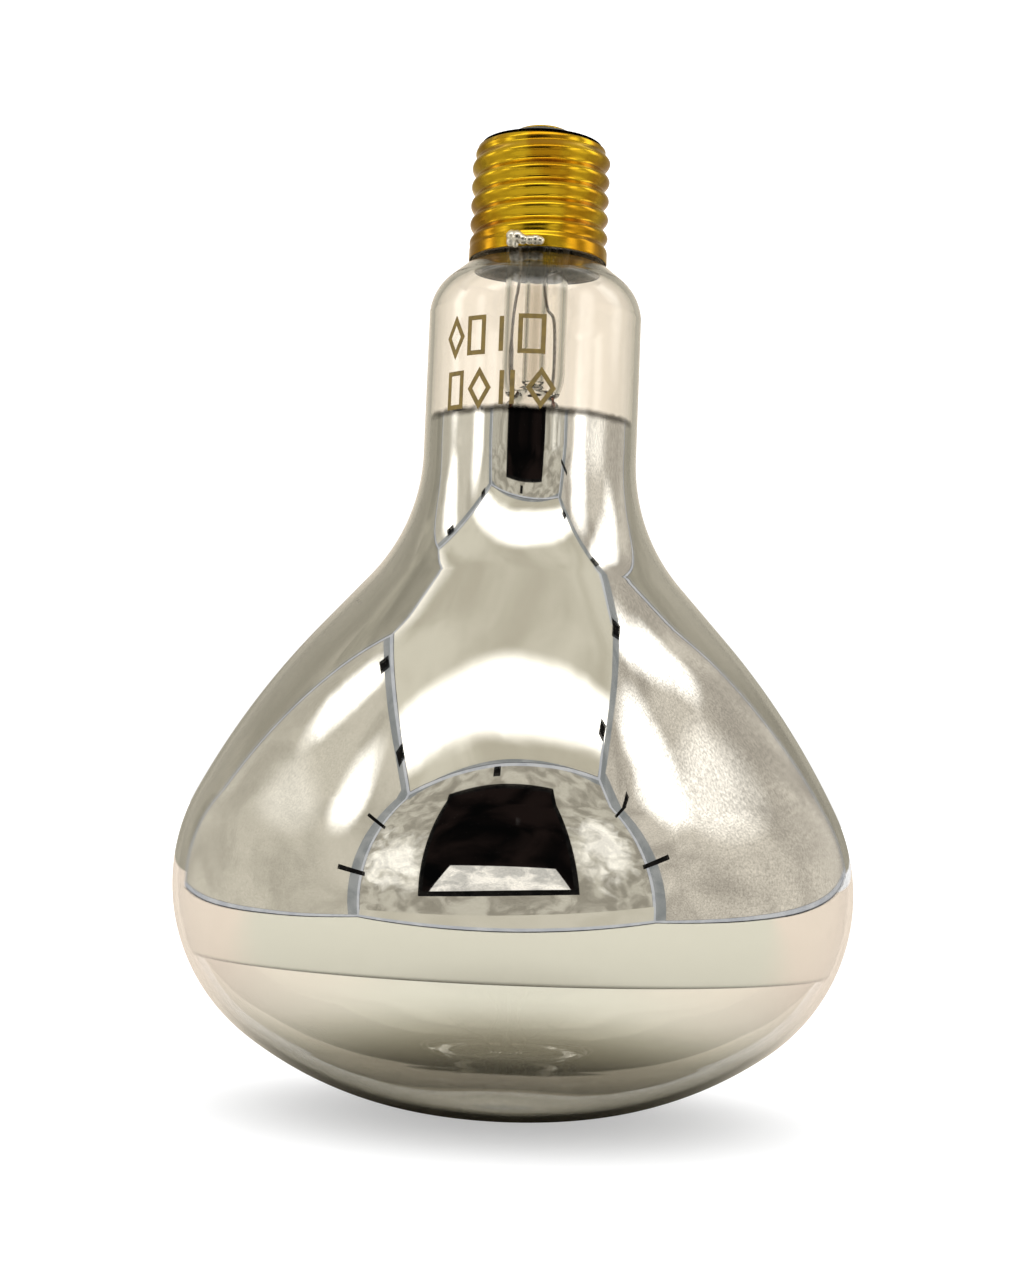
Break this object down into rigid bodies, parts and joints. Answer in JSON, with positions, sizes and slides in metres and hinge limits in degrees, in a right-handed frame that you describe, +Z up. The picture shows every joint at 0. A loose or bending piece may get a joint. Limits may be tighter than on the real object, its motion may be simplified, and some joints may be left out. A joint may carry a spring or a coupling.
{
  "type": "reflector lamp",
  "caption": "Large reflector lamp with a pear-shaped mirrored bulb, a clear front dome, a clear neck that shows its glass stem, and a brass screw cap.",
  "frame": {"origin": "the lowest point of the dome, on the lamp's axis, where the lamp stands cap up", "axes": "+Z up along the lamp's axis towards the centre contact, -Y towards the side that carries the side solder"},
  "size_m": [0.125, 0.125, 0.1854],
  "materials": {
    "clear_glass": "clear blown soda-lime glass with fine scuffs",
    "mirror_coating": "vacuum-deposited aluminium on the inside of the glass",
    "cap_brass": "bright rolled brass with amber reflections",
    "black_insulator": "black vitrite glass, glossy",
    "solder": "dull silver tin solder",
    "cement": "matt basing cement",
    "stem_glass": "clear lead glass with fire-polished edges",
    "lead_wire": "grey drawn wire",
    "copper_wire": "copper-clad seal wire, red-brown in the glass",
    "nickel_wire": "drawn nickel wire",
    "fuse_glass": "small glass sleeve",
    "tungsten": "coiled tungsten wire, dark grey",
    "molybdenum": "thin drawn wire",
    "deflector_aluminium": "thin bright disc"
  },
  "bodies": {
    "root": {"glass_envelope": "clear_glass", "reflector_coating": "mirror_coating", "cap_shell": "cap_brass", "cap_insulator": "black_insulator", "centre_contact": "cap_brass", "contact_solder": "solder", "side_solder": "solder", "basing_cement": "cement", "stem_flare": "stem_glass", "exhaust_tube": "stem_glass", "stem_pinch": "stem_glass", "arbor_rod": "stem_glass", "arbor_button": "stem_glass", "centre_lead_lower": "lead_wire", "fuse_sleeve": "fuse_glass", "centre_lead_upper": "lead_wire", "side_lead": "lead_wire", "seal_wire_left": "copper_wire", "seal_wire_right": "copper_wire", "inner_lead_left": "nickel_wire", "inner_lead_right": "nickel_wire", "filament_clamp_left": "nickel_wire", "filament_clamp_right": "nickel_wire", "filament": "tungsten", "filament_support_1": "molybdenum", "filament_support_2": "molybdenum", "filament_support_3": "molybdenum", "filament_support_4": "molybdenum", "filament_support_5": "molybdenum", "heat_deflector": "deflector_aluminium"}
  },
  "joints": []
}
